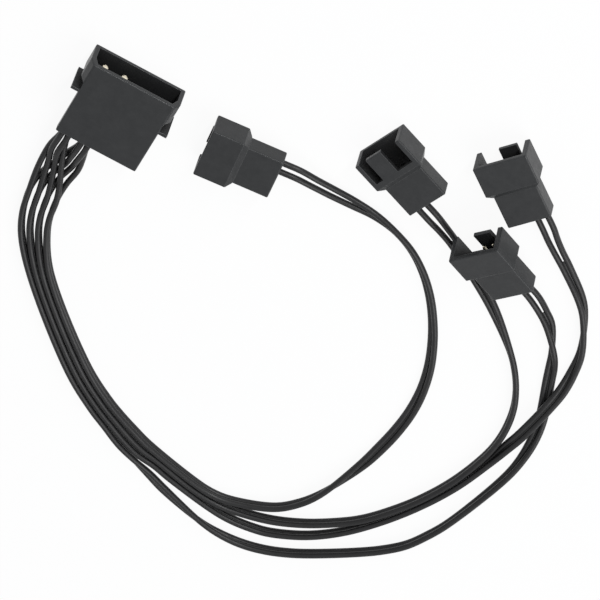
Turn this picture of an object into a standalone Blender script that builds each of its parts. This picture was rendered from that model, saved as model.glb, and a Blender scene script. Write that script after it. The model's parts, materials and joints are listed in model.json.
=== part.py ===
"""Fan splitter cable: one four-way power plug feeds four fan plugs through four flat pairs of wires.

All sizes are in millimetres and become metres when a mesh or a curve is written.
A plug's own frame has its origin under the middle of its open front, +Y out of the front,
+X to the right of someone looking out of the front, and +Z up.
"""
import math

import bmesh
import bpy
from mathutils import Matrix, Vector

MM = 0.001

# Power plug: open shell with male pins, two of the four places filled
POWER_PITCH = 5.08
POWER_HEIGHT = 8.4
POWER_LENGTH = 21.2
POWER_END_WALL = 0.6
POWER_UNDER_STEP = 1.1
POWER_COLLAR_STEP = 1.2
POWER_COLLAR_LENGTH = 5.6
POWER_COLLAR_RUNOUT = 0.6
POWER_CORNER_DROP = 2.1
POWER_WALL = 1.05
POWER_RIM_WALL = 0.75
POWER_MOUTH_RUNOUT = 0.6
POWER_SHELL_DEPTH = 12.0
POWER_EAR_START = 8.0
POWER_EAR_THICKNESS = 0.8
POWER_EAR_STEP = 2.05
POWER_EAR_RELIEF = 0.15
POWER_EAR_ROOT = 0.5
POWER_BORE_CLEARANCE = 0.8
POWER_BORE_DEPTH = 7.0
POWER_PIN_DIAMETER = 2.13
POWER_PIN_NOSE = 0.95
POWER_PIN_RECESS = 1.5
POWER_PIN_CLEARANCE = 0.25
POWER_CRIMP_CLEARANCE = 0.45
POWER_CRIMP_LENGTH = 1.55
POWER_EDGE = 0.28

# Fan plug: open shroud with a tab and two slots on one face, two of the four places filled
FAN_PITCH = 2.54
FAN_HEIGHT = 7.2
FAN_END_WALL = 0.62
FAN_SHROUD_LENGTH = 7.85
FAN_SHOULDER_LENGTH = 1.4
FAN_TAIL_LENGTH = 8.85
FAN_SIDE_STEP = 1.27
FAN_TAB_STEP = 1.24
FAN_PLAIN_STEP = 1.2
FAN_SIDE_WALL = 1.2
FAN_FACE_WALL = 1.1
FAN_SHROUD_DEPTH = 7.1
FAN_LIP = 1.2
FAN_NARROW_SLOT = 2.1
FAN_TAB = 4.4
FAN_SLOT_LENGTH = 6.4
FAN_BORE_SIDE_CLEARANCE = 0.65
FAN_BORE_FACE_CLEARANCE = 1.25
FAN_BORE_DEPTH = 6.4
FAN_PIN = 0.64
FAN_PIN_NOSE = 0.5
FAN_PIN_CLEARANCE = 0.23
FAN_PIN_RECESS = 1.5
FAN_CRIMP_GROWTH = 0.1
FAN_CRIMP_LENGTH = 2.6
FAN_EDGE = 0.28
FAN_WIRE_STRAIGHT = 4.5

# Wires: each fan plug hangs on one flat pair of insulated cores
WIRE_DIAMETER = 1.35
PAIR_GAP = 0.25
NEST_GAP = 0.27
WIRE_END_GAP = 0.3
SEAT_GAP = 0.3
WIRE_POINT_SPACING = 3.85

# How far a cutter stands proud of the surface that it opens
OVERRUN = 1.0

# Where each plug lies: x, y, heading of its front, front lift angle, right side lift angle, tab face up
FAN_POSES = {
    1: (21.67, -8.24, 185.7, 0.0, 0.0, False),
    2: (55.83, 14.19, 158.2, 0.0, 0.0, True),
    3: (80.60, 27.83, 141.5, 0.0, 0.0, False),
    4: (86.09, 6.87, 148.4, 15.8, 11.5, False),
}

# Middle of the bundle behind the power plug: x, y, spacing of the four pairs
BUNDLE = [
    (-4.4, -44.0, 2.3), (-3.4, -50.0, 2.2), (-1.3, -55.6, 2.05), (5.0, -65.3, 1.62), (24.9, -85.4, 1.65),
    (34.0, -91.8, 1.7), (38.8, -94.4, 1.75),
]

# Each pair after the bundle: x, y, roll of the pair, lift above the table, extra distance between its cores
ROUTES = {
    1: [
        (44.4, -94.0, 90, 0.0, 0.0), (49.2, -95.9, 90, 0.0, 0.0), (63.9, -99.6, 90, 0.0, 0.0),
        (68.8, -100.2, 90, 0.0, 0.0), (73.6, -99.6, 90, 0.0, 0.0), (83.7, -95.2, 90, 0.0, 0.0),
        (88.2, -90.6, 90, 0.0, 0.0), (91.5, -84.8, 80, 0.0, 0.0), (95.8, -71.8, 25, 0.0, 0.05),
        (97.2, -65.0, 5, 0.0, 0.1), (98.1, -58.0, 0, 0.0, 0.1), (98.3, -50.8, -15, 0.0, 0.0),
        (97.5, -43.4, -35, 0.0, 0.0), (95.7, -36.3, -40, 0.0, 0.0), (93.0, -29.6, -45, 0.0, 0.0),
        (89.7, -23.4, -50, 0.0, 0.0), (85.8, -17.7, -52, 0.0, 0.0), (81.3, -12.8, -55, 0.0, 0.0),
        (76.2, -8.9, -58, 0.0, 0.0), (70.6, -6.4, -58, 0.0, 0.0), (64.8, -5.2, -35, 0.0, 0.15),
        (59.1, -5.1, -10, 0.2, 0.4), (53.3, -4.9, 0, 0.8, 0.6), (48.2, -4.2, 0, 1.9, 0.75),
    ],
    2: [
        (43.9, -95.9, 90, 0.0, 0.0), (48.8, -97.8, 90, 0.0, 0.0), (53.3, -98.7, 90, 0.0, 0.0),
        (63.8, -101.3, 90, 0.0, 0.0), (69.2, -102.0, 90, 0.0, 0.0), (74.5, -101.8, 90, 0.0, 0.0),
        (84.5, -99.2, 90, 0.0, 0.0), (92.6, -95.0, 90, 0.0, 0.0), (99.6, -89.7, 90, 0.0, 0.0),
        (102.9, -86.6, 90, 0.0, 0.0), (106.2, -82.5, 90, 0.0, 0.0), (112.0, -73.2, 90, 0.0, 0.0),
        (116.5, -62.8, 90, 0.0, 0.0), (119.3, -51.6, 90, 0.0, 0.0), (119.8, -45.6, 95, 0.0, 0.0),
        (119.3, -39.8, 100, 0.0, 0.0), (118.0, -34.6, 100, 0.0, 0.0), (115.9, -29.9, 100, 0.0, 0.0),
        (113.2, -25.6, 105, 0.0, 0.0), (110.0, -21.7, 110, 0.0, 0.0), (99.4, -12.2, 165, 0.0, 0.0),
        (87.2, -4.0, 180, 0.1, 0.05), (83.2, -1.3, 180, 0.6, 0.2), (79.6, 1.1, 180, 1.7, 0.5),
    ],
    3: [
        (43.5, -97.8, 90, 0.0, 0.0), (48.4, -99.7, 90, 0.0, 0.0), (53.1, -100.4, 90, 0.0, 0.0),
        (58.3, -101.8, 90, 0.0, 0.0), (74.6, -104.6, 90, 0.0, 0.0), (83.1, -103.7, 90, 0.0, 0.0),
        (87.1, -102.4, 90, 0.0, 0.0), (94.6, -98.1, 90, 0.0, 0.0), (101.4, -91.9, 90, 0.0, 0.0),
        (107.8, -83.5, 90, 0.0, 0.0), (113.5, -73.8, 90, 0.0, 0.0), (118.1, -63.4, 90, 0.0, 0.0),
        (121.2, -52.2, 110, 0.0, 0.0), (122.3, -46.5, 140, 0.5, 0.0), (123.3, -40.8, 170, 1.6, 0.0),
        (124.8, -28.6, 180, 1.9, 0.0), (125.2, -23.6, 165, 1.1, 0.0), (124.9, -18.4, 140, 0.1, 0.0),
        (123.6, -11.8, 115, 0.0, 0.0), (119.1, -2.4, 75, 0.0, 0.0), (116.1, 1.3, 50, 0.0, 0.0),
        (109.1, 7.0, 10, 0.1, 0.15), (105.5, 9.9, 0, 0.7, 0.4), (102.3, 13.0, 0, 1.8, 0.7),
    ],
    4: [
        (43.1, -99.8, 90, 0.0, 0.0), (47.7, -101.9, 65, 0.0, 0.0), (53.2, -104.1, 35, 0.0, 0.0),
        (59.0, -106.5, 28, 0.0, 0.0), (70.7, -109.8, 60, 0.0, 0.0), (76.6, -110.3, 80, 0.0, 0.0),
        (82.4, -109.8, 90, 0.0, 0.0), (88.0, -108.2, 90, 0.0, 0.0), (93.2, -105.7, 90, 0.0, 0.0),
        (98.2, -102.5, 90, 0.0, 0.0), (107.7, -95.3, 90, 0.0, 0.0), (112.2, -91.3, 90, 0.0, 0.0),
        (116.2, -86.7, 90, 0.0, 0.0), (119.2, -81.0, 90, 0.0, 0.0), (121.6, -74.9, 90, 0.0, 0.0),
        (126.4, -55.3, 105, 0.0, 0.0), (127.1, -48.4, 120, 0.0, 0.0), (126.8, -41.5, 150, 0.0, 0.0),
        (125.5, -35.0, 172, 0.0, 0.0), (121.4, -23.7, 178, 0.0, 0.0), (120.0, -19.8, 160, 0.0, 0.0),
        (118.3, -16.0, 120, 0.0, 0.1), (113.8, -9.6, 45, 0.0, 0.15), (111.0, -7.2, 25, 0.3, 0.15),
    ],
}

# How the cores fan out between the power plug and the bundle, nearest the plug first.
# Each row is a distance behind the plug, then x and z of the cores of pairs 4, 3, 2 and 1.
SUPPLY_FAN_OUT = [
    (4.0, ((-8.5, 3.1), (-8.5, 4.8), (-6.8, 4.9), (-6.7, 3.2))),
    (8.4, ((-9.2, 2.3), (-8.5, 3.8), (-6.9, 4.2), (-5.6, 3.1))),
    (12.6, ((-9.2, 2.3), (-7.6, 2.6), (-5.9, 2.8), (-4.2, 2.8))),
    (17.2, ((-8.8, 2.3), (-6.7, 2.35), (-4.6, 2.35), (-2.5, 2.3))),
]
RETURN_FAN_OUT = [
    (4.0, ((-3.4, 3.1), (-3.4, 4.8), (-1.7, 4.8), (-1.6, 3.1))),
    (8.4, ((-4.5, 1.5), (-3.5, 3.0), (-1.9, 3.2), (-0.8, 1.7))),
    (12.6, ((-5.6, 0.7), (-3.7, 0.9), (-2.0, 0.9), (-0.3, 0.7))),
    (17.2, ((-7.3, 0.7), (-5.2, 0.7), (-3.1, 0.7), (-0.9, 0.7))),
]


def clear_scene():
    for item in list(bpy.data.objects):
        bpy.data.objects.remove(item, do_unlink=True)


def make_material(name, colour, roughness, metallic=0.0):
    material = bpy.data.materials.new(name)
    material.use_nodes = True
    shader = material.node_tree.nodes["Principled BSDF"]
    shader.inputs["Base Color"].default_value = (*colour, 1.0)
    shader.inputs["Roughness"].default_value = roughness
    shader.inputs["Metallic"].default_value = metallic
    material.diffuse_color = (*colour, 1.0)
    return material


def add_loft(bm, sections):
    """Skin closed XZ outlines that share a point count; each section is a y value and its outline."""
    rings = [[bm.verts.new((x * MM, y * MM, z * MM)) for x, z in outline] for y, outline in sections]
    count = len(rings[0])
    for near, far in zip(rings, rings[1:]):
        for i in range(count):
            j = (i + 1) % count
            bm.faces.new((near[i], near[j], far[j], far[i]))
    bm.faces.new(rings[0])
    bm.faces.new(list(reversed(rings[-1])))


def add_box(bm, x0, x1, y0, y1, z0, z1):
    outline = [(x0, z0), (x1, z0), (x1, z1), (x0, z1)]
    add_loft(bm, [(y0, outline), (y1, outline)])


def circle(radius, x, z, sides):
    turns = [2.0 * math.pi * (i + 0.5) / sides for i in range(sides)]
    return [(x + radius * math.cos(t), z + radius * math.sin(t)) for t in turns]


def add_turned(bm, profile, x, z, sides):
    """A turned body along Y from (y, radius) pairs."""
    add_loft(bm, [(y, circle(radius, x, z, sides)) for y, radius in profile])


def soften(bm, width, ends):
    """Break the long edges that run along Y and the edges of the two end faces."""
    edges = []
    for edge in bm.edges:
        low, high = sorted(vertex.co.y / MM for vertex in edge.verts)
        lengthways = high - low > 2.0
        rim = high - low < 0.001 and min(abs(low - end) for end in ends) < 0.001
        if lengthways or rim:
            edges.append(edge)
    bmesh.ops.bevel(bm, geom=edges, offset=width * MM, segments=2, profile=0.5, affect="EDGES")


def split_warped(bm):
    """Split four-sided faces that are not flat."""
    warped = []
    for face in bm.faces:
        if len(face.verts) == 4:
            corners = [vertex.co for vertex in face.verts]
            plane = (corners[1] - corners[0]).cross(corners[2] - corners[0])
            if plane.length > 0 and abs(plane.normalized().dot(corners[3] - corners[0])) > 0.001 * MM:
                warped.append(face)
    bmesh.ops.triangulate(bm, faces=warped)


def finish_mesh(name, bm, material, matrix):
    bmesh.ops.recalc_face_normals(bm, faces=bm.faces)
    mesh = bpy.data.meshes.new(name)
    bm.to_mesh(mesh)
    bm.free()
    mesh.materials.append(material)
    item = bpy.data.objects.new(name, mesh)
    bpy.context.scene.collection.objects.link(item)
    item.parent = ROOT
    item.matrix_local = matrix
    return item


def combine(target, name, operation, bm, matrix):
    """Join the tool's solids to the target or take them out of it."""
    tool = finish_mesh(name, bm, target.data.materials[0], matrix)
    tool.hide_render = True
    tool.display_type = "WIRE"
    step = target.modifiers.new(name, "BOOLEAN")
    step.operation = operation
    step.solver = "EXACT"
    step.object = tool


def nest_pitch():
    return WIRE_DIAMETER + NEST_GAP


def power_places():
    return [POWER_PITCH * (i - 1.5) for i in range(4)]


def power_bore():
    """A bore takes four wires nested two by two."""
    return nest_pitch() * math.sqrt(2.0) + WIRE_DIAMETER + POWER_BORE_CLEARANCE


def power_half_top():
    return 1.5 * POWER_PITCH + power_bore() / 2 + POWER_END_WALL


def power_bore_floor():
    return -(POWER_LENGTH - POWER_BORE_DEPTH)


def power_pin_end():
    return power_bore_floor() - SEAT_GAP - POWER_CRIMP_LENGTH


def power_outline(half_top, half_shoulder, half_under, low, high):
    """Six-point outline whose two upper corners may be cut."""
    shoulder = high - POWER_CORNER_DROP
    return [
        (-half_under, low), (half_under, low), (half_shoulder, shoulder),
        (half_top, high), (-half_top, high), (-half_shoulder, shoulder),
    ]


def build_power_plug(plastic, metal):
    here = Matrix.Identity(4)
    half_top = power_half_top()
    half_under = half_top - POWER_UNDER_STEP
    half_collar = half_top + POWER_COLLAR_STEP
    half_ear = half_top + POWER_EAR_STEP
    collar = power_outline(half_top, half_collar, half_collar, 0.0, POWER_HEIGHT)
    body = power_outline(half_top, half_top, half_under, 0.0, POWER_HEIGHT)
    bm = bmesh.new()
    add_loft(bm, [
        (0.0, collar), (-POWER_COLLAR_LENGTH, collar),
        (-POWER_COLLAR_LENGTH - POWER_COLLAR_RUNOUT, body), (-POWER_LENGTH, body),
    ])
    soften(bm, POWER_EDGE, (0.0, -POWER_LENGTH))
    split_warped(bm)
    housing = finish_mesh("power_plug_housing", bm, plastic, here)

    bm = bmesh.new()
    ear_back = -POWER_EAR_START - POWER_EAR_THICKNESS
    for side in (-1, 1):
        x0, x1 = sorted((side * (half_under - POWER_EAR_ROOT), side * half_ear))
        add_box(bm, x0, x1, -POWER_EAR_START, ear_back, POWER_EAR_RELIEF, POWER_HEIGHT - POWER_EAR_RELIEF)
    combine(housing, "power_plug_ear_stock", "UNION", bm, here)

    low, high = POWER_WALL, POWER_HEIGHT - POWER_WALL
    rim = half_collar - POWER_WALL
    mouth = power_outline(half_top - POWER_RIM_WALL, rim, rim, low, high)
    inner = power_outline(half_top - POWER_WALL, half_top - POWER_WALL, half_under - POWER_WALL, low, high)
    bm = bmesh.new()
    add_loft(bm, [
        (OVERRUN, mouth), (-POWER_COLLAR_LENGTH + POWER_MOUTH_RUNOUT, mouth),
        (-POWER_COLLAR_LENGTH, inner), (-POWER_SHELL_DEPTH, inner)])
    split_warped(bm)
    combine(housing, "power_plug_shell_cutter", "DIFFERENCE", bm, here)

    middle = POWER_HEIGHT / 2
    hole = POWER_PIN_DIAMETER / 2 + POWER_PIN_CLEARANCE
    bm = bmesh.new()
    for x in power_places():
        add_turned(bm, [
            (-POWER_SHELL_DEPTH + OVERRUN, hole), (power_bore_floor(), hole),
            (power_bore_floor(), power_bore() / 2),
            (-POWER_LENGTH - OVERRUN, power_bore() / 2)], x, middle, 20)
    combine(housing, "power_plug_bore_cutter", "DIFFERENCE", bm, here)

    for name, x in zip(("power_pin_supply", "power_pin_return"), power_places()):
        build_power_pin(name, x, middle, metal, here)
    return housing


def build_power_pin(name, x, z, metal, matrix):
    """A round pin with a domed nose, and the barrel that grips its wires."""
    radius = POWER_PIN_DIAMETER / 2
    barrel = power_bore() / 2 - POWER_CRIMP_CLEARANCE
    tip = -POWER_PIN_RECESS
    shoulder = power_bore_floor() - SEAT_GAP
    dome = []
    for step in range(4):
        angle = math.radians(20.0 + 70.0 * step / 3)
        dome.append((tip - POWER_PIN_NOSE * (1.0 - math.cos(angle)), radius * math.sin(angle)))
    bm = bmesh.new()
    add_turned(bm, dome + [(shoulder, radius), (shoulder, barrel), (power_pin_end(), barrel)], x, z, 20)
    finish_mesh(name, bm, metal, matrix)


def fan_bore_width():
    return WIRE_DIAMETER + FAN_BORE_SIDE_CLEARANCE


def fan_half_tail():
    return 1.5 * FAN_PITCH + fan_bore_width() / 2 + FAN_END_WALL


def fan_half_shroud():
    return fan_half_tail() + FAN_SIDE_STEP


def fan_section(half, step_under, step_top):
    top = FAN_HEIGHT - step_top
    return [(-half, step_under), (half, step_under), (half, top), (-half, top)]


def fan_length():
    return FAN_SHROUD_LENGTH + FAN_SHOULDER_LENGTH + FAN_TAIL_LENGTH


def fan_places():
    return [FAN_PITCH * (i - 1.5) for i in range(4)]


def fan_middle():
    return (FAN_PLAIN_STEP + FAN_HEIGHT - FAN_TAB_STEP) / 2


def fan_bore_floor():
    return -(fan_length() - FAN_BORE_DEPTH)


def fan_pin_end():
    return fan_bore_floor() - SEAT_GAP - FAN_CRIMP_LENGTH


def fan_frame(number):
    """Where a fan plug's own frame stands; the lowest corner of the plug touches the table."""
    x, y, heading, front_lift, side_lift, tab_up = FAN_POSES[number]
    frame = Matrix.Rotation(math.radians(heading - 90.0), 4, "Z")
    frame = frame @ Matrix.Rotation(math.radians(front_lift), 4, "X")
    frame = frame @ Matrix.Rotation(math.radians(-side_lift), 4, "Y")
    if not tab_up:
        frame = frame @ Matrix.Translation((0.0, 0.0, FAN_HEIGHT * MM)) @ Matrix.Rotation(math.pi, 4, "Y")
    shroud = fan_section(fan_half_shroud(), 0.0, 0.0)
    tail = fan_section(fan_half_tail(), FAN_PLAIN_STEP, FAN_TAB_STEP)
    lowest = 0.0
    for depth, outline in ((0.0, shroud), (-FAN_SHROUD_LENGTH, shroud), (-fan_length(), tail)):
        for across, height in outline:
            lowest = min(lowest, (frame @ Vector((across * MM, depth * MM, height * MM))).z)
    return Matrix.Translation((x * MM, y * MM, -lowest)) @ frame


def square(x, z, half_width, half_height):
    return [
        (x - half_width, z - half_height), (x + half_width, z - half_height),
        (x + half_width, z + half_height), (x - half_width, z + half_height)]


def build_fan_plug(number, plastic, metal):
    frame = fan_frame(number)
    half = fan_half_shroud()
    shroud = fan_section(half, 0.0, 0.0)
    tail = fan_section(fan_half_tail(), FAN_PLAIN_STEP, FAN_TAB_STEP)
    shoulder = -FAN_SHROUD_LENGTH - FAN_SHOULDER_LENGTH
    bm = bmesh.new()
    add_loft(bm, [(0.0, shroud), (-FAN_SHROUD_LENGTH, shroud), (shoulder, tail), (-fan_length(), tail)])
    soften(bm, FAN_EDGE, (0.0, -fan_length()))
    housing = finish_mesh("fan_plug_housing_%d" % number, bm, plastic, frame)

    inner = half - FAN_SIDE_WALL
    top = FAN_HEIGHT - FAN_FACE_WALL
    bm = bmesh.new()
    add_box(bm, -inner, inner, OVERRUN, -FAN_SHROUD_DEPTH, FAN_FACE_WALL, top)
    combine(housing, "fan_plug_shroud_cutter_%d" % number, "DIFFERENCE", bm, frame)

    narrow = -half + FAN_LIP
    wide = narrow + FAN_NARROW_SLOT + FAN_TAB
    bm = bmesh.new()
    for x0, x1 in ((narrow, narrow + FAN_NARROW_SLOT), (wide, half - FAN_LIP)):
        add_box(bm, x0, x1, OVERRUN, -FAN_SLOT_LENGTH, top - FAN_FACE_WALL / 2, FAN_HEIGHT + OVERRUN)
    combine(housing, "fan_plug_slot_cutter_%d" % number, "DIFFERENCE", bm, frame)

    middle = fan_middle()
    hole = FAN_PIN / 2 + FAN_PIN_CLEARANCE
    half_height = (WIRE_DIAMETER + FAN_BORE_FACE_CLEARANCE) / 2
    bm = bmesh.new()
    for x in fan_places():
        small = square(x, middle, hole, hole)
        large = square(x, middle, fan_bore_width() / 2, half_height)
        add_loft(bm, [
            (-FAN_SHROUD_DEPTH + OVERRUN, small), (fan_bore_floor(), small),
            (fan_bore_floor(), large), (-fan_length() - OVERRUN, large)])
    combine(housing, "fan_plug_bore_cutter_%d" % number, "DIFFERENCE", bm, frame)

    for name, x in zip(("return", "supply"), fan_places()):
        build_fan_pin("fan_pin_%s_%d" % (name, number), x, middle, metal, frame)
    return housing


def build_fan_pin(name, x, z, metal, matrix):
    """A square pin with a pointed nose, and the barrel that grips its wire."""
    blade = FAN_PIN / 2
    barrel = (WIRE_DIAMETER + FAN_CRIMP_GROWTH) / 2
    shoulder = fan_bore_floor() - SEAT_GAP
    bm = bmesh.new()
    add_loft(bm, [
        (-FAN_PIN_RECESS, square(x, z, blade / 2, blade / 2)),
        (-FAN_PIN_RECESS - FAN_PIN_NOSE, square(x, z, blade, blade)),
        (shoulder, square(x, z, blade, blade)), (shoulder, square(x, z, barrel, barrel)),
        (fan_pin_end(), square(x, z, barrel, barrel))])
    finish_mesh(name, bm, metal, matrix)


def smooth_path(points, spacing):
    """Read evenly spaced points from a centripetal curve through the given ones."""
    ends = [points[0] * 2 - points[1]] + list(points) + [points[-1] * 2 - points[-2]]
    dense = []
    for p0, p1, p2, p3 in zip(ends, ends[1:], ends[2:], ends[3:]):
        t1 = (p1 - p0).length ** 0.5
        t2 = t1 + (p2 - p1).length ** 0.5
        t3 = t2 + (p3 - p2).length ** 0.5
        for i in range(24):
            t = t1 + (t2 - t1) * i / 24
            a1 = p0 * ((t1 - t) / t1) + p1 * (t / t1)
            a2 = p1 * ((t2 - t) / (t2 - t1)) + p2 * ((t - t1) / (t2 - t1))
            a3 = p2 * ((t3 - t) / (t3 - t2)) + p3 * ((t - t2) / (t3 - t2))
            b1 = a1 * ((t2 - t) / t2) + a2 * (t / t2)
            b2 = a2 * ((t3 - t) / (t3 - t1)) + a3 * ((t - t1) / (t3 - t1))
            dense.append(b1 * ((t2 - t) / (t2 - t1)) + b2 * ((t - t1) / (t2 - t1)))
    dense.append(points[-1].copy())
    lengths = [0.0]
    for near, far in zip(dense, dense[1:]):
        lengths.append(lengths[-1] + (far - near).length)
    count = max(2, round(lengths[-1] / spacing))
    result = []
    k = 0
    for i in range(count + 1):
        wanted = lengths[-1] * i / count
        while k < len(dense) - 2 and lengths[k + 1] < wanted:
            k += 1
        share = (wanted - lengths[k]) / max(lengths[k + 1] - lengths[k], 1e-9)
        result.append(dense[k].lerp(dense[k + 1], min(max(share, 0.0), 1.0)))
    return result


def bundle_rows(number):
    """The bundle's middle line moved sideways to the lane of one pair, which stands on edge."""
    lane = 2.5 - number
    rows = []
    for i, (x, y, spacing) in enumerate(BUNDLE):
        near = Vector(BUNDLE[max(i - 1, 0)][:2])
        far = Vector(BUNDLE[min(i + 1, len(BUNDLE) - 1)][:2])
        run = (far - near).normalized()
        left = Vector((-run.y, run.x))
        place = Vector((x, y)) + left * lane * spacing
        rows.append((place.x, place.y, 90, 0.0, 0.0))
    return rows


def pair_cores(rows):
    """Centres of both cores of a pair from its rows."""
    supply, back = [], []
    for i, (x, y, roll, lift, extra) in enumerate(rows):
        near = Vector(rows[max(i - 1, 0)][:2])
        far = Vector(rows[min(i + 1, len(rows) - 1)][:2])
        run = (far - near).normalized()
        spread = WIRE_DIAMETER + PAIR_GAP + extra
        across = math.cos(math.radians(roll)) * spread / 2
        rise = math.sin(math.radians(roll)) * spread / 2
        middle = WIRE_DIAMETER / 2 + abs(rise) + lift
        left = Vector((-run.y, run.x, 0.0)) * across
        supply.append(Vector((x, y, middle + rise)) + left)
        back.append(Vector((x, y, middle - rise)) - left)
    return supply, back


def power_end(number, table, x):
    """Points of one core from its crimp out of the power plug to the bundle."""
    column = 4 - number
    nest = nest_pitch() / 2
    corner = ((-nest, -nest), (-nest, nest), (nest, nest), (nest, -nest))[column]
    across, height = x + corner[0], POWER_HEIGHT / 2 + corner[1]
    points = [
        Vector((across, power_pin_end() - WIRE_END_GAP, height)),
        Vector((across, -POWER_LENGTH, height)),
    ]
    for distance, cores in table:
        points.append(Vector((cores[column][0], -POWER_LENGTH - distance, cores[column][1])))
    return points


def fan_end(number, x):
    """Points of one core from behind a fan plug to its crimp."""
    frame = fan_frame(number)
    stops = (-fan_length() - FAN_WIRE_STRAIGHT, -fan_length(), fan_pin_end() - WIRE_END_GAP)
    return [frame @ Vector((x * MM, y * MM, fan_middle() * MM)) / MM for y in stops]


def build_wire(name, points, insulation):
    curve = bpy.data.curves.new(name, "CURVE")
    curve.dimensions = "3D"
    curve.bevel_depth = WIRE_DIAMETER / 2 * MM
    curve.bevel_resolution = 2
    curve.use_fill_caps = True
    path = smooth_path(points, WIRE_POINT_SPACING)
    spline = curve.splines.new("POLY")
    spline.points.add(len(path) - 1)
    for place, point in zip(spline.points, path):
        height = max(point.z, WIRE_DIAMETER / 2)
        place.co = (point.x * MM, point.y * MM, height * MM, 1.0)
    curve.materials.append(insulation)
    item = bpy.data.objects.new(name, curve)
    bpy.context.scene.collection.objects.link(item)
    item.parent = ROOT


def build_pair(number, insulation):
    supply, back = pair_cores(bundle_rows(number) + ROUTES[number])
    places = power_places()
    pins = fan_places()
    supply = power_end(number, SUPPLY_FAN_OUT, places[0]) + supply + fan_end(number, pins[1])
    back = power_end(number, RETURN_FAN_OUT, places[1]) + back + fan_end(number, pins[0])
    build_wire("wire_supply_%d" % number, supply, insulation)
    build_wire("wire_return_%d" % number, back, insulation)


def centre_on_table(housings):
    """Put the middle of the plugs' footprint over the origin."""
    bpy.context.view_layer.update()
    ear = (power_half_top() + POWER_EAR_STEP) * MM
    corners = [Vector((-ear, 0.0, 0.0)), Vector((ear, 0.0, 0.0))]
    for item in housings:
        corners.extend(item.matrix_local @ vertex.co for vertex in item.data.vertices)
    middle_x = (min(c.x for c in corners) + max(c.x for c in corners)) / 2
    middle_y = (min(c.y for c in corners) + max(c.y for c in corners)) / 2
    ROOT.location = (-middle_x, -middle_y, 0.0)


clear_scene()
ROOT = bpy.data.objects.new("splitter_root", None)
bpy.context.scene.collection.objects.link(ROOT)
BLACK_NYLON = make_material("black_nylon", (0.032, 0.033, 0.034), 0.48)
TINNED_BRASS = make_material("tinned_brass", (0.74, 0.71, 0.64), 0.28, 1.0)
BLACK_VINYL = make_material("black_vinyl", (0.012, 0.012, 0.013), 0.32)
HOUSINGS = [build_power_plug(BLACK_NYLON, TINNED_BRASS)]
for fan_number in FAN_POSES:
    HOUSINGS.append(build_fan_plug(fan_number, BLACK_NYLON, TINNED_BRASS))
    build_pair(fan_number, BLACK_VINYL)
centre_on_table(HOUSINGS)
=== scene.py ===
"""The fan splitter cable on a white table: camera, light, wires and surface finishes."""
import json
import math

import bmesh
import bpy
from mathutils import Matrix, Vector

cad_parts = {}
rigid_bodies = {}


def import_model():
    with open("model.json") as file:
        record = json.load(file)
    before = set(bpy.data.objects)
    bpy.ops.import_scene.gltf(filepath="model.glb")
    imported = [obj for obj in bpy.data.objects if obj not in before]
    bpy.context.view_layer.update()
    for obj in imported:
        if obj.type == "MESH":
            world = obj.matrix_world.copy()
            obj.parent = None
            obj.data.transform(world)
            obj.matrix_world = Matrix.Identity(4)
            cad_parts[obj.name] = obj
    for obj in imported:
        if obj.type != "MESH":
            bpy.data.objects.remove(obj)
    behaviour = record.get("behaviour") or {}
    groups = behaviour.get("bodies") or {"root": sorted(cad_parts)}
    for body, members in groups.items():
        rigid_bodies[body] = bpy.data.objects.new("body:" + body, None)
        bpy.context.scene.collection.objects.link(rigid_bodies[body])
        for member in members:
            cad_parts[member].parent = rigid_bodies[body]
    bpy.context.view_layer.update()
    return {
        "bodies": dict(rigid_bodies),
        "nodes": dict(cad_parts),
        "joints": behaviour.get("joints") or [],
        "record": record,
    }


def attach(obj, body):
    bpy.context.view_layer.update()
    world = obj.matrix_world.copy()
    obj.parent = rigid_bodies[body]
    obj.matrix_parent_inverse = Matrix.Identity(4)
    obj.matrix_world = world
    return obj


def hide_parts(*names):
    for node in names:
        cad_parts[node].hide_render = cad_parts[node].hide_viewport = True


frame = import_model()

# The plugs and routes in mm, with the same values as the solids

MM = 0.001
POWER_PITCH = 5.08
POWER_HEIGHT = 8.4
POWER_LENGTH = 21.2
POWER_BORE_DEPTH = 7.0
POWER_CRIMP_LENGTH = 1.55
FAN_PITCH = 2.54
FAN_HEIGHT = 7.2
FAN_END_WALL = 0.62
FAN_SHROUD_LENGTH = 7.85
FAN_SHOULDER_LENGTH = 1.4
FAN_TAIL_LENGTH = 8.85
FAN_SIDE_STEP = 1.27
FAN_TAB_STEP = 1.24
FAN_PLAIN_STEP = 1.2
FAN_BORE_SIDE_CLEARANCE = 0.65
FAN_BORE_DEPTH = 6.4
FAN_CRIMP_LENGTH = 2.6
FAN_WIRE_STRAIGHT = 4.5
WIRE_DIAMETER = 1.35
PAIR_GAP = 0.25
NEST_GAP = 0.27
WIRE_END_GAP = 0.3
SEAT_GAP = 0.3
# From the routes' own origin, under the power plug's front, to the part's
SHIFT = Vector((-46.031, -5.879, 0.0))

# Each fan plug: x, y, heading of its front, front lift angle, right side lift angle, tab face up
FAN_POSES = {
    1: (21.67, -8.24, 185.7, 0.0, 0.0, False),
    2: (55.83, 14.19, 158.2, 0.0, 0.0, True),
    3: (80.60, 27.83, 141.5, 0.0, 0.0, False),
    4: (86.09, 6.87, 148.4, 15.8, 11.5, False),
}

# Middle of the bundle behind the power plug: x, y, spacing of the four pairs
BUNDLE = [
    (-4.4, -44.0, 2.3), (-3.4, -50.0, 2.2), (-1.3, -55.6, 2.05), (5.0, -65.3, 1.62),
    (24.9, -85.4, 1.65), (34.0, -91.8, 1.7), (38.8, -94.4, 1.75),
]

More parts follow.
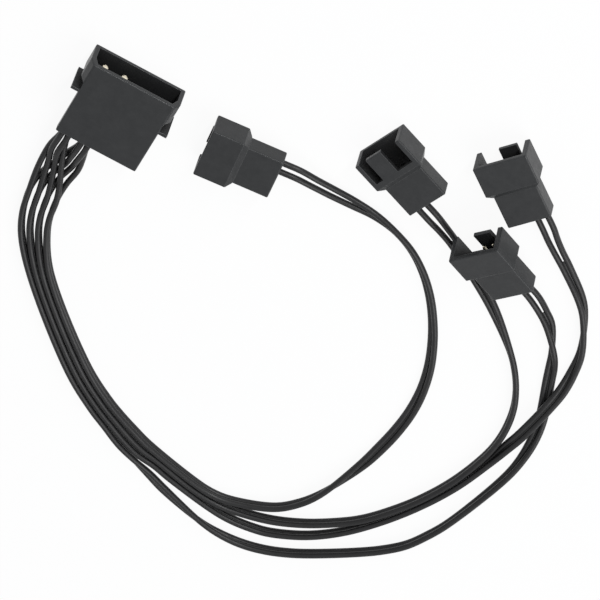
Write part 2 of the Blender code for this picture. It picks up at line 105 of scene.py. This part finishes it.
# Each pair after the bundle: x, y, roll of the pair, lift above the table, extra room between its cores
ROUTES = {
    1: [
        (44.4, -94.0, 90, 0.0, 0.0), (49.2, -95.9, 90, 0.0, 0.0), (63.9, -99.6, 90, 0.0, 0.0),
        (68.8, -100.2, 90, 0.0, 0.0), (73.6, -99.6, 90, 0.0, 0.0), (83.7, -95.2, 90, 0.0, 0.0),
        (88.2, -90.6, 90, 0.0, 0.0), (91.5, -84.8, 80, 0.0, 0.0), (95.8, -71.8, 25, 0.0, 0.05),
        (97.2, -65.0, 5, 0.0, 0.1), (98.1, -58.0, 0, 0.0, 0.1), (98.3, -50.8, -15, 0.0, 0.0),
        (97.5, -43.4, -35, 0.0, 0.0), (95.7, -36.3, -40, 0.0, 0.0), (93.0, -29.6, -45, 0.0, 0.0),
        (89.7, -23.4, -50, 0.0, 0.0), (85.8, -17.7, -52, 0.0, 0.0), (81.3, -12.8, -55, 0.0, 0.0),
        (76.2, -8.9, -58, 0.0, 0.0), (70.6, -6.4, -58, 0.0, 0.0), (64.8, -5.2, -35, 0.0, 0.15),
        (59.1, -5.1, -10, 0.2, 0.4), (53.3, -4.9, 0, 0.8, 0.6), (48.2, -4.2, 0, 1.9, 0.75),
    ],
    2: [
        (43.9, -95.9, 90, 0.0, 0.0), (48.8, -97.8, 90, 0.0, 0.0), (53.3, -98.7, 90, 0.0, 0.0),
        (63.8, -101.3, 90, 0.0, 0.0), (69.2, -102.0, 90, 0.0, 0.0), (74.5, -101.8, 90, 0.0, 0.0),
        (84.5, -99.2, 90, 0.0, 0.0), (92.6, -95.0, 90, 0.0, 0.0), (99.6, -89.7, 90, 0.0, 0.0),
        (102.9, -86.6, 90, 0.0, 0.0), (106.2, -82.5, 90, 0.0, 0.0), (112.0, -73.2, 90, 0.0, 0.0),
        (116.5, -62.8, 90, 0.0, 0.0), (119.3, -51.6, 90, 0.0, 0.0), (119.8, -45.6, 95, 0.0, 0.0),
        (119.3, -39.8, 100, 0.0, 0.0), (118.0, -34.6, 100, 0.0, 0.0), (115.9, -29.9, 100, 0.0, 0.0),
        (113.2, -25.6, 105, 0.0, 0.0), (110.0, -21.7, 110, 0.0, 0.0), (99.4, -12.2, 165, 0.0, 0.0),
        (87.2, -4.0, 180, 0.1, 0.05), (83.2, -1.3, 180, 0.6, 0.2), (79.6, 1.1, 180, 1.7, 0.5),
    ],
    3: [
        (43.5, -97.8, 90, 0.0, 0.0), (48.4, -99.7, 90, 0.0, 0.0), (53.1, -100.4, 90, 0.0, 0.0),
        (58.3, -101.8, 90, 0.0, 0.0), (74.6, -104.6, 90, 0.0, 0.0), (83.1, -103.7, 90, 0.0, 0.0),
        (87.1, -102.4, 90, 0.0, 0.0), (94.6, -98.1, 90, 0.0, 0.0), (101.4, -91.9, 90, 0.0, 0.0),
        (107.8, -83.5, 90, 0.0, 0.0), (113.5, -73.8, 90, 0.0, 0.0), (118.1, -63.4, 90, 0.0, 0.0),
        (121.2, -52.2, 110, 0.0, 0.0), (122.3, -46.5, 140, 0.5, 0.0), (123.3, -40.8, 170, 1.6, 0.0),
        (124.8, -28.6, 180, 1.9, 0.0), (125.2, -23.6, 165, 1.1, 0.0), (124.9, -18.4, 140, 0.1, 0.0),
        (123.6, -11.8, 115, 0.0, 0.0), (119.1, -2.4, 75, 0.0, 0.0), (116.1, 1.3, 50, 0.0, 0.0),
        (109.1, 7.0, 10, 0.1, 0.15), (105.5, 9.9, 0, 0.7, 0.4), (102.3, 13.0, 0, 1.8, 0.7),
    ],
    4: [
        (43.1, -99.8, 90, 0.0, 0.0), (47.7, -101.9, 65, 0.0, 0.0), (53.2, -104.1, 35, 0.0, 0.0),
        (59.0, -106.5, 28, 0.0, 0.0), (70.7, -109.8, 60, 0.0, 0.0), (76.6, -110.3, 80, 0.0, 0.0),
        (82.4, -109.8, 90, 0.0, 0.0), (88.0, -108.2, 90, 0.0, 0.0), (93.2, -105.7, 90, 0.0, 0.0),
        (98.2, -102.5, 90, 0.0, 0.0), (107.7, -95.3, 90, 0.0, 0.0), (112.2, -91.3, 90, 0.0, 0.0),
        (116.2, -86.7, 90, 0.0, 0.0), (119.2, -81.0, 90, 0.0, 0.0), (121.6, -74.9, 90, 0.0, 0.0),
        (126.4, -55.3, 105, 0.0, 0.0), (127.1, -48.4, 120, 0.0, 0.0), (126.8, -41.5, 150, 0.0, 0.0),
        (125.5, -35.0, 172, 0.0, 0.0), (121.4, -23.7, 178, 0.0, 0.0), (120.0, -19.8, 160, 0.0, 0.0),
        (118.3, -16.0, 120, 0.0, 0.1), (113.8, -9.6, 45, 0.0, 0.15), (111.0, -7.2, 25, 0.3, 0.15),
    ],
}

# Behind the power plug: distance from it, and x and height of the cores of pairs 4, 3, 2 and 1
SUPPLY_FAN_OUT = [
    (4.0, ((-8.5, 3.1), (-8.5, 4.8), (-6.8, 4.9), (-6.7, 3.2))),
    (8.4, ((-9.2, 2.3), (-8.5, 3.8), (-6.9, 4.2), (-5.6, 3.1))),
    (12.6, ((-9.2, 2.3), (-7.6, 2.6), (-5.9, 2.8), (-4.2, 2.8))),
    (17.2, ((-8.8, 2.3), (-6.7, 2.35), (-4.6, 2.35), (-2.5, 2.3))),
]

RETURN_FAN_OUT = [
    (4.0, ((-3.4, 3.1), (-3.4, 4.8), (-1.7, 4.8), (-1.6, 3.1))),
    (8.4, ((-4.5, 1.5), (-3.5, 3.0), (-1.9, 3.2), (-0.8, 1.7))),
    (12.6, ((-5.6, 0.7), (-3.7, 0.9), (-2.0, 0.9), (-0.3, 0.7))),
    (17.2, ((-7.3, 0.7), (-5.2, 0.7), (-3.1, 0.7), (-0.9, 0.7))),
]


def nest_pitch():
    return WIRE_DIAMETER + NEST_GAP


def power_places():
    return [POWER_PITCH * (i - 1.5) for i in range(4)]


def power_bore_floor():
    return -(POWER_LENGTH - POWER_BORE_DEPTH)


def power_pin_end():
    return power_bore_floor() - SEAT_GAP - POWER_CRIMP_LENGTH


def fan_bore_width():
    return WIRE_DIAMETER + FAN_BORE_SIDE_CLEARANCE


def fan_half_tail():
    return 1.5 * FAN_PITCH + fan_bore_width() / 2 + FAN_END_WALL


def fan_half_shroud():
    return fan_half_tail() + FAN_SIDE_STEP


def fan_section(half, step_under, step_top):
    top = FAN_HEIGHT - step_top
    return [(-half, step_under), (half, step_under), (half, top), (-half, top)]


def fan_length():
    return FAN_SHROUD_LENGTH + FAN_SHOULDER_LENGTH + FAN_TAIL_LENGTH


def fan_places():
    return [FAN_PITCH * (i - 1.5) for i in range(4)]


def fan_middle():
    return (FAN_PLAIN_STEP + FAN_HEIGHT - FAN_TAB_STEP) / 2


def fan_bore_floor():
    return -(fan_length() - FAN_BORE_DEPTH)


def fan_pin_end():
    return fan_bore_floor() - SEAT_GAP - FAN_CRIMP_LENGTH


def fan_frame(number):
    """Where a fan plug's own frame stands; the lowest corner of the plug touches the table."""
    x, y, heading, front_lift, side_lift, tab_up = FAN_POSES[number]
    frame = Matrix.Rotation(math.radians(heading - 90.0), 4, "Z")
    frame = frame @ Matrix.Rotation(math.radians(front_lift), 4, "X")
    frame = frame @ Matrix.Rotation(math.radians(-side_lift), 4, "Y")
    if not tab_up:
        frame = frame @ Matrix.Translation((0.0, 0.0, FAN_HEIGHT * MM))
        frame = frame @ Matrix.Rotation(math.pi, 4, "Y")
    shroud = fan_section(fan_half_shroud(), 0.0, 0.0)
    tail = fan_section(fan_half_tail(), FAN_PLAIN_STEP, FAN_TAB_STEP)
    lowest = 0.0
    for depth, outline in ((0.0, shroud), (-FAN_SHROUD_LENGTH, shroud), (-fan_length(), tail)):
        for across, height in outline:
            lowest = min(lowest, (frame @ Vector((across * MM, depth * MM, height * MM))).z)
    return Matrix.Translation((x * MM, y * MM, -lowest)) @ frame


def smooth_path(points, spacing):
    """Read evenly spaced points from a centripetal curve through the given ones."""
    ends = [points[0] * 2 - points[1]] + list(points) + [points[-1] * 2 - points[-2]]
    dense = []
    for p0, p1, p2, p3 in zip(ends, ends[1:], ends[2:], ends[3:]):
        t1 = (p1 - p0).length ** 0.5
        t2 = t1 + (p2 - p1).length ** 0.5
        t3 = t2 + (p3 - p2).length ** 0.5
        for i in range(24):
            t = t1 + (t2 - t1) * i / 24
            a1 = p0 * ((t1 - t) / t1) + p1 * (t / t1)
            a2 = p1 * ((t2 - t) / (t2 - t1)) + p2 * ((t - t1) / (t2 - t1))
            a3 = p2 * ((t3 - t) / (t3 - t2)) + p3 * ((t - t2) / (t3 - t2))
            b1 = a1 * ((t2 - t) / t2) + a2 * (t / t2)
            b2 = a2 * ((t3 - t) / (t3 - t1)) + a3 * ((t - t1) / (t3 - t1))
            dense.append(b1 * ((t2 - t) / (t2 - t1)) + b2 * ((t - t1) / (t2 - t1)))
    dense.append(points[-1].copy())
    lengths = [0.0]
    for near, far in zip(dense, dense[1:]):
        lengths.append(lengths[-1] + (far - near).length)
    count = max(2, round(lengths[-1] / spacing))
    result = []
    k = 0
    for i in range(count + 1):
        wanted = lengths[-1] * i / count
        while k < len(dense) - 2 and lengths[k + 1] < wanted:
            k += 1
        share = (wanted - lengths[k]) / max(lengths[k + 1] - lengths[k], 1e-9)
        result.append(dense[k].lerp(dense[k + 1], min(max(share, 0.0), 1.0)))
    return result


def bundle_rows(number):
    """The bundle's middle line moved sideways to the lane of one pair, which stands on edge."""
    lane = 2.5 - number
    rows = []
    for i, (x, y, spacing) in enumerate(BUNDLE):
        near = Vector(BUNDLE[max(i - 1, 0)][:2])
        far = Vector(BUNDLE[min(i + 1, len(BUNDLE) - 1)][:2])
        run = (far - near).normalized()
        left = Vector((-run.y, run.x))
        place = Vector((x, y)) + left * lane * spacing
        rows.append((place.x, place.y, 90, 0.0, 0.0))
    return rows


def pair_cores(rows):
    """Centres of both cores of a pair from its rows."""
    supply, back = [], []
    for i, (x, y, roll, lift, extra) in enumerate(rows):
        near = Vector(rows[max(i - 1, 0)][:2])
        far = Vector(rows[min(i + 1, len(rows) - 1)][:2])
        run = (far - near).normalized()
        spread = WIRE_DIAMETER + PAIR_GAP + extra
        across = math.cos(math.radians(roll)) * spread / 2
        rise = math.sin(math.radians(roll)) * spread / 2
        middle = WIRE_DIAMETER / 2 + abs(rise) + lift
        left = Vector((-run.y, run.x, 0.0)) * across
        supply.append(Vector((x, y, middle + rise)) + left)
        back.append(Vector((x, y, middle - rise)) - left)
    return supply, back


def power_end(number, table, x):
    """Points of one core from its crimp out of the power plug to the bundle."""
    column = 4 - number
    nest = nest_pitch() / 2
    corner = ((-nest, -nest), (-nest, nest), (nest, nest), (nest, -nest))[column]
    across, height = x + corner[0], POWER_HEIGHT / 2 + corner[1]
    points = [
        Vector((across, power_pin_end() - WIRE_END_GAP, height)),
        Vector((across, -POWER_LENGTH, height)),
    ]
    for distance, cores in table:
        points.append(Vector((cores[column][0], -POWER_LENGTH - distance, cores[column][1])))
    return points


def fan_end(number, x):
    """Points of one core from behind a fan plug to its crimp."""
    frame = fan_frame(number)
    stops = (-fan_length() - FAN_WIRE_STRAIGHT, -fan_length(), fan_pin_end() - WIRE_END_GAP)
    return [frame @ Vector((x * MM, y * MM, fan_middle() * MM)) / MM for y in stops]


def pair_routes(number):
    """Each wire's node and the points of its route."""
    supply, back = pair_cores(bundle_rows(number) + ROUTES[number])
    places = power_places()
    pins = fan_places()
    supply = power_end(number, SUPPLY_FAN_OUT, places[0]) + supply + fan_end(number, pins[1])
    back = power_end(number, RETURN_FAN_OUT, places[1]) + back + fan_end(number, pins[0])
    return (("wire_supply_%d" % number, supply), ("wire_return_%d" % number, back))


# Camera, light and table; the camera's place is in mm, and its turn is elevation, azimuth and roll

CAMERA_PLACE = (-94.76, 604.79, 896.37)
CAMERA_TURN = (53.60, 193.63, 196.78)
CAMERA_LENS = 281.98
CAMERA_SENSOR = 36.0
CAMERA_CLIP = (0.05, 20.0)

# Name, place, target, size and watts
LIGHTS = (
    ("key", (0.80, -0.10, 0.85), (0.0, -0.02, 0.0), (0.9, 0.9), 9.0),
    ("strip", (0.10, 0.90, 0.70), (-0.046, -0.006, 0.008), (0.14, 1.0), 8.0),
)

TABLE_SIZE = 6.0
TABLE_HEIGHT = -0.0002
TABLE_COLOUR = (0.86, 0.86, 0.86, 1.0)
# Less than one, so that the table keeps the part's shadow
TABLE_WHITE_SHARE = 0.93
ROOM_COLOUR = (0.9, 0.93, 1.0, 1.0)
ROOM_STRENGTH = 0.35


def make_camera():
    data = bpy.data.cameras.new("camera")
    data.lens = CAMERA_LENS
    data.sensor_width = CAMERA_SENSOR
    data.clip_start, data.clip_end = CAMERA_CLIP
    camera = bpy.data.objects.new("camera", data)
    elevation, azimuth, roll = (math.radians(a) for a in CAMERA_TURN)
    turn = Matrix.Rotation(azimuth, 4, "Z") @ Matrix.Rotation(math.pi / 2 - elevation, 4, "X")
    turn = turn @ Matrix.Rotation(roll, 4, "Z")
    camera.matrix_world = Matrix.Translation((Vector(CAMERA_PLACE) + SHIFT) * MM) @ turn
    bpy.context.scene.collection.objects.link(camera)
    bpy.context.scene.camera = camera


def make_light(name, place, target, size, watts):
    data = bpy.data.lights.new(name, "AREA")
    data.shape = "RECTANGLE"
    data.size, data.size_y = size
    data.energy = watts
    lamp = bpy.data.objects.new(name, data)
    aim = (Vector(target) - Vector(place)).to_track_quat("-Z", "Y")
    lamp.matrix_world = Matrix.Translation(Vector(place)) @ aim.to_matrix().to_4x4()
    bpy.context.scene.collection.objects.link(lamp)


def math_node(tree, operation, first, second):
    """Combine an output with another output or with a number."""
    node = tree.nodes.new("ShaderNodeMath")
    node.operation = operation
    tree.links.new(first, node.inputs[0])
    if isinstance(second, float):
        node.inputs[1].default_value = second
    else:
        tree.links.new(second, node.inputs[1])
    return node.outputs[0]


def seen_white(tree, shader, white, share):
    """Shows white to the eye and to reflections, and keeps the shader for everything else."""
    path = tree.nodes.new("ShaderNodeLightPath")
    seen = math_node(tree, "MAXIMUM", path.outputs["Is Camera Ray"], path.outputs["Is Glossy Ray"])
    seen = math_node(tree, "MAXIMUM", seen, path.outputs["Is Transmission Ray"])
    mix = tree.nodes.new("ShaderNodeMixShader")
    tree.links.new(math_node(tree, "MULTIPLY", seen, share), mix.inputs[0])
    tree.links.new(shader, mix.inputs[1])
    tree.links.new(white, mix.inputs[2])
    return mix.outputs[0]


def make_floor():
    bpy.ops.mesh.primitive_plane_add(size=TABLE_SIZE, location=(0.0, 0.0, TABLE_HEIGHT))
    floor = bpy.context.object
    floor.name = "table_top"
    material = bpy.data.materials.new("table_white")
    material.use_nodes = True
    tree = material.node_tree
    tree.nodes.clear()
    base = tree.nodes.new("ShaderNodeBsdfDiffuse")
    base.inputs["Color"].default_value = TABLE_COLOUR
    glow = tree.nodes.new("ShaderNodeEmission")
    glow.inputs["Strength"].default_value = 1.0
    surface = seen_white(tree, base.outputs[0], glow.outputs[0], TABLE_WHITE_SHARE)
    tree.links.new(surface, tree.nodes.new("ShaderNodeOutputMaterial").inputs["Surface"])
    floor.data.materials.append(material)


def make_world():
    world = bpy.data.worlds.new("studio")
    world.use_nodes = True
    tree = world.node_tree
    tree.nodes.clear()
    room = tree.nodes.new("ShaderNodeBackground")
    room.inputs["Color"].default_value = ROOM_COLOUR
    room.inputs["Strength"].default_value = ROOM_STRENGTH
    white = tree.nodes.new("ShaderNodeBackground")
    white.inputs["Strength"].default_value = 1.0
    surface = seen_white(tree, room.outputs[0], white.outputs[0], 1.0)
    tree.links.new(surface, tree.nodes.new("ShaderNodeOutputWorld").inputs["Surface"])
    bpy.context.scene.world = world


# Surface finishes; noise scales are per metre, and lengths are in metres

# Noise mostly stays between these
NOISE_LOW = 0.3
NOISE_HIGH = 0.7
NYLON_EDGE_RADIUS = 0.00022
# How far the ambient occlusion reaches for the painted shade in the hollows
NYLON_PAINTED_SHADE_REACH = 0.009
TIN_EDGE_RADIUS = 0.00006
PLASTIC_SPECULAR = 0.3


class Finish:
    """Small helper that wires one procedural material together."""

    def __init__(self, name):
        self.material = bpy.data.materials.new(name)
        self.material.use_nodes = True
        self.tree = self.material.node_tree
        self.nodes = self.tree.nodes
        self.links = self.tree.links
        self.shader = self.nodes["Principled BSDF"]
        self.place = self.nodes.new("ShaderNodeTexCoord").outputs["Object"]

    def noise(self, scale, detail=3.0, roughness=0.5):
        node = self.nodes.new("ShaderNodeTexNoise")
        node.inputs["Scale"].default_value = scale
        node.inputs["Detail"].default_value = detail
        node.inputs["Roughness"].default_value = roughness
        self.links.new(self.place, node.inputs["Vector"])
        return node.outputs["Fac"]

    def span(self, value, low, high, start=NOISE_LOW, end=NOISE_HIGH):
        """Low at the start value, high at the end value and even steps between."""
        node = self.nodes.new("ShaderNodeMapRange")
        node.inputs["From Min"].default_value = start
        node.inputs["From Max"].default_value = end
        node.inputs["To Min"].default_value = low
        node.inputs["To Max"].default_value = high
        self.links.new(value, node.inputs["Value"])
        return node.outputs["Result"]

    def ramp(self, value, dark, light):
        node = self.nodes.new("ShaderNodeValToRGB")
        stops = node.color_ramp.elements
        stops[0].position, stops[0].color = NOISE_LOW, (*dark, 1.0)
        stops[1].position, stops[1].color = NOISE_HIGH, (*light, 1.0)
        self.links.new(value, node.inputs["Fac"])
        return node.outputs["Color"]

    def rounded(self, radius):
        """The normal of the surface as if its edges were rounded."""
        node = self.nodes.new("ShaderNodeBevel")
        node.samples = 6
        node.inputs["Radius"].default_value = radius
        return node.outputs["Normal"]

    def bump(self, height, strength, distance, normal=None):
        node = self.nodes.new("ShaderNodeBump")
        node.inputs["Strength"].default_value = strength
        node.inputs["Distance"].default_value = distance
        self.links.new(height, node.inputs["Height"])
        if normal:
            self.links.new(normal, node.inputs["Normal"])
        return node.outputs["Normal"]

    def edge_mask(self, rounded):
        """High along the edges, where the rounded normal leaves the face's own."""
        face = self.nodes.new("ShaderNodeNewGeometry")
        turn = self.nodes.new("ShaderNodeVectorMath")
        turn.operation = "DOT_PRODUCT"
        self.links.new(rounded, turn.inputs[0])
        self.links.new(face.outputs["Normal"], turn.inputs[1])
        reach = self.span(turn.outputs["Value"], 1.0, 0.0, start=0.86, end=0.995)
        wear = self.span(self.noise(scale=220.0, detail=2.0), 0.75, 1.0, start=0.35, end=0.65)
        return math_node(self.tree, "MULTIPLY", reach, wear)

    def painted_hollow_shade_mask(self, reach):
        """Mask for painted shade: one deep in the piece's own hollows and zero on its open faces."""
        node = self.nodes.new("ShaderNodeAmbientOcclusion")
        node.only_local = True
        node.samples = 8
        node.inputs["Distance"].default_value = reach
        return self.span(node.outputs["AO"], 1.0, 0.0, start=0.45, end=0.85)

    def blend(self, share, plain, other):
        """The plain output, giving way by a share to another colour or number."""
        node = self.nodes.new("ShaderNodeMix")
        if isinstance(other, tuple):
            node.data_type, other = "RGBA", (*other, 1.0)
            first, second, result = 6, 7, 2
        else:
            node.data_type = "FLOAT"
            first, second, result = 2, 3, 0
        node.inputs[second].default_value = other
        self.links.new(share, node.inputs[0])
        self.links.new(plain, node.inputs[first])
        return node.outputs[result]

    def join(self, value, socket):
        self.links.new(value, self.shader.inputs[socket])


def nylon_finish():
    """Moulded black nylon: faint clouds, paler worn edges, and hollows darkened with painted shade and
    made rougher.
    """
    f = Finish("moulded_nylon")
    edge = f.rounded(NYLON_EDGE_RADIUS)
    worn = f.edge_mask(edge)
    cloud = f.noise(scale=420.0, detail=4.0, roughness=0.6)
    colour = f.ramp(cloud, dark=(0.017, 0.018, 0.019), light=(0.024, 0.025, 0.026))
    # Painted shade: ambient occlusion darkens the hollows' base colour nearly to black and also raises
    # their roughness
    painted_hollow_shade = f.painted_hollow_shade_mask(NYLON_PAINTED_SHADE_REACH)
    colour = f.blend(worn, colour, (0.075, 0.077, 0.08))
    # The near-black colour here is painted shade in the hollows
    f.join(f.blend(painted_hollow_shade, colour, (0.008, 0.008, 0.0085)), "Base Color")
    rough = f.span(f.noise(scale=700.0, detail=5.0, roughness=0.65), 0.32, 0.44)
    rough = f.blend(worn, rough, 0.26)
    f.join(f.blend(painted_hollow_shade, rough, 0.75), "Roughness")
    f.shader.inputs["Specular IOR Level"].default_value = PLASTIC_SPECULAR
    flow = f.bump(f.noise(scale=260.0, detail=2.0), strength=0.10, distance=0.0002, normal=edge)
    grain = f.noise(scale=9000.0, detail=2.0, roughness=0.6)
    f.join(f.bump(grain, strength=0.10, distance=0.00003, normal=flow), "Normal")
    return f.material


def tin_finish():
    """Tinned contacts with a warm tone and fine draw marks."""
    f = Finish("tinned_contact")
    cloud = f.noise(scale=1500.0, detail=4.0, roughness=0.6)
    f.join(f.ramp(cloud, dark=(0.70, 0.63, 0.48), light=(0.86, 0.80, 0.66)), "Base Color")
    f.shader.inputs["Metallic"].default_value = 1.0
    f.join(f.span(f.noise(scale=3000.0), 0.18, 0.34), "Roughness")
    edge = f.rounded(TIN_EDGE_RADIUS)
    marks = f.noise(scale=5000.0, detail=2.0)
    f.join(f.bump(marks, strength=0.12, distance=0.00003, normal=edge), "Normal")
    return f.material


def vinyl_finish():
    """Black wire insulation with a soft gloss and slow ripples."""
    f = Finish("vinyl_insulation")
    cloud = f.noise(scale=180.0, detail=4.0, roughness=0.6)
    f.join(f.ramp(cloud, dark=(0.009, 0.009, 0.0095), light=(0.015, 0.015, 0.0155)), "Base Color")
    f.join(f.span(f.noise(scale=500.0, detail=5.0, roughness=0.6), 0.34, 0.46), "Roughness")
    f.shader.inputs["Specular IOR Level"].default_value = PLASTIC_SPECULAR
    ripple = f.bump(f.noise(scale=300.0, detail=2.0), strength=0.20, distance=0.0002)
    grain = f.noise(scale=5000.0, detail=2.0)
    f.join(f.bump(grain, strength=0.10, distance=0.00002, normal=ripple), "Normal")
    return f.material


def dress(name, material):
    """Give a CAD node its finish."""
    for slot in frame["nodes"][name].material_slots:
        slot.material = material


# Wires, in mm

CORE_DIAMETER = 1.5
CORE_SPACING = 1.3
# The web begins this far behind the power plug, or to the right of this x on the way back
WEB_START = 20.0
WEB_RETURN_SIDE = 20.0
# Cores farther apart than this have no web between them
WEB_REACH = 1.85
WEB_ROOT = 0.12
WEB_THICKNESS = 0.5
WEB_SPACING = 1.0
WEB_FEWEST_POINTS = 5
# The other core is read at half that spacing, and this window of it follows along
MATE_SPACING = 0.5
MATE_BEHIND = 12
MATE_AHEAD = 16


def lay_wire(node, points, insulation):
    """One core's insulation on the route of its solid, which it replaces."""
    path = smooth_path(points, CORE_SPACING)
    curve = bpy.data.curves.new(node + "_insulation", "CURVE")
    curve.dimensions = "3D"
    curve.bevel_depth = CORE_DIAMETER / 2 * MM
    curve.bevel_resolution = 6
    curve.use_fill_caps = True
    spline = curve.splines.new("POLY")
    spline.points.add(len(path) - 1)
    spline.use_smooth = True
    for place, point in zip(spline.points, path):
        height = max(point.z, CORE_DIAMETER / 2)
        place.co = ((point.x + SHIFT.x) * MM, (point.y + SHIFT.y) * MM, height * MM, 1.0)
    curve.materials.append(insulation)
    item = bpy.data.objects.new(node + "_insulation", curve)
    bpy.context.scene.collection.objects.link(item)
    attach(item, "root")
    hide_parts(node)


def web_stretches(supply, back):
    """Runs where the cores lie side by side, as the middle and the gap across at each point."""
    near = smooth_path(supply, WEB_SPACING)
    far = smooth_path(back, MATE_SPACING)
    stretch, mate = [], 0
    for point in near:
        window = range(max(mate - MATE_BEHIND, 0), min(mate + MATE_AHEAD, len(far)))
        mate = min(window, key=lambda i: (far[i] - point).length)
        gap = far[mate] - point
        clear = point.y < -POWER_LENGTH - WEB_START or point.x > WEB_RETURN_SIDE
        if clear and gap.length < WEB_REACH:
            stretch.append((point + gap / 2, gap))
            continue
        if len(stretch) >= WEB_FEWEST_POINTS:
            yield stretch
        stretch = []
    if len(stretch) >= WEB_FEWEST_POINTS:
        yield stretch


def lay_webs(number, supply, back, insulation):
    """The thin web of insulation that joins the two cores of a pair."""
    pieces = []
    for count, stretch in enumerate(web_stretches(supply, back)):
        bm = bmesh.new()
        rings = []
        for i, (middle, gap) in enumerate(stretch):
            run = stretch[min(i + 1, len(stretch) - 1)][0] - stretch[max(i - 1, 0)][0]
            across = gap.normalized() * (gap.length / 2 - CORE_DIAMETER / 2 + WEB_ROOT)
            up = run.cross(gap).normalized() * (WEB_THICKNESS / 2)
            corners = (across + up, up - across, -across - up, across - up)
            rings.append([bm.verts.new((middle + SHIFT + corner) * MM) for corner in corners])
        for one, two in zip(rings, rings[1:]):
            for i in range(4):
                bm.faces.new((one[i], one[(i + 1) % 4], two[(i + 1) % 4], two[i]))
        bm.faces.new(rings[0])
        bm.faces.new(list(reversed(rings[-1])))
        bmesh.ops.recalc_face_normals(bm, faces=bm.faces)
        name = "pair_web_%d_%d" % (number, count + 1)
        mesh = bpy.data.meshes.new(name)
        bm.to_mesh(mesh)
        bm.free()
        mesh.materials.append(insulation)
        item = bpy.data.objects.new(name, mesh)
        bpy.context.scene.collection.objects.link(item)
        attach(item, "root")
        pieces.append(item)
    return pieces


make_world()
make_floor()
make_camera()
for light in LIGHTS:
    make_light(*light)
NYLON = nylon_finish()
TIN = tin_finish()
VINYL = vinyl_finish()
dress("power_plug_housing", NYLON)
dress("power_pin_supply", TIN)
dress("power_pin_return", TIN)
for fan_number in FAN_POSES:
    dress("fan_plug_housing_%d" % fan_number, NYLON)
    dress("fan_pin_supply_%d" % fan_number, TIN)
    dress("fan_pin_return_%d" % fan_number, TIN)
    (supply_node, supply_route), (return_node, return_route) = pair_routes(fan_number)
    webs = lay_webs(fan_number, supply_route, return_route, VINYL)
    lay_wire(supply_node, supply_route, VINYL)
    lay_wire(return_node, return_route, VINYL)

bpy.context.scene.view_settings.view_transform = "Standard"
bpy.context.view_layer.update()
